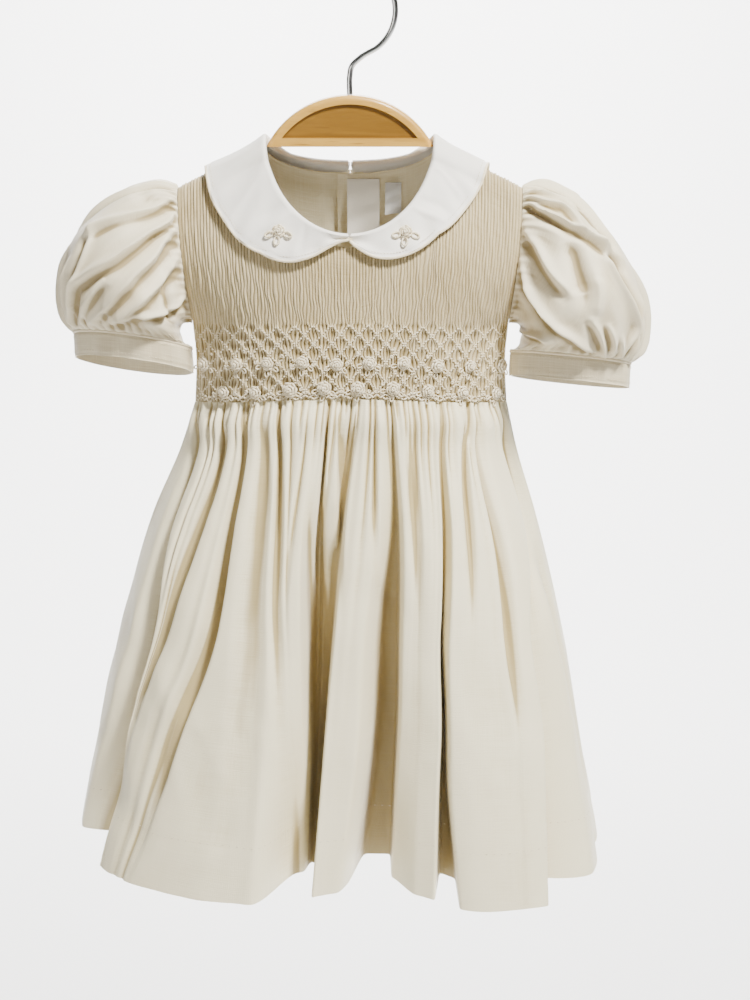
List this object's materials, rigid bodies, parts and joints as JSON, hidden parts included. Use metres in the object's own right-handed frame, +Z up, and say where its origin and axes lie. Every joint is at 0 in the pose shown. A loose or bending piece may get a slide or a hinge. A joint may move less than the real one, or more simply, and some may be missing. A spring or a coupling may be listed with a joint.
{
  "type": "toddler dress on hanger",
  "caption": "Ivory cotton toddler dress with puff sleeves, a round collar, a pleated and smocked front and a full gathered skirt, on a pale wooden hanger.",
  "frame": {"origin": "the inside of the hook's top, where it sits on a rail", "axes": "+Z up, -Y out of the dress's front, +X towards the sleeve on the right as seen from the front"},
  "size_m": [0.3663, 0.2216, 0.5585],
  "materials": {
    "ivory_cotton": "soft sheen",
    "smocked_cotton": "pleated",
    "collar_cotton": "pressed",
    "piping_cord": "soft sheen",
    "pearl_button": "gloss",
    "pale_wood": "varnished",
    "bright_wire": "polished"
  },
  "bodies": {
    "root": {"front_smocked": "smocked_cotton", "back_left": "ivory_cotton", "back_right": "ivory_cotton", "front_skirt": "ivory_cotton", "back_skirt": "ivory_cotton", "sleeve_left": "ivory_cotton", "sleeve_right": "ivory_cotton", "cuff_left": "ivory_cotton", "cuff_right": "ivory_cotton", "cuff_left_piping": "piping_cord", "cuff_right_piping": "piping_cord", "collar_left": "collar_cotton", "collar_right": "collar_cotton", "collar_left_piping": "piping_cord", "collar_right_piping": "piping_cord", "neck_label": "collar_cotton", "size_tab": "collar_cotton", "button_1": "pearl_button", "button_2": "pearl_button", "button_3": "pearl_button", "hanger_board": "pale_wood", "hanger_hook": "bright_wire"}
  },
  "joints": []
}
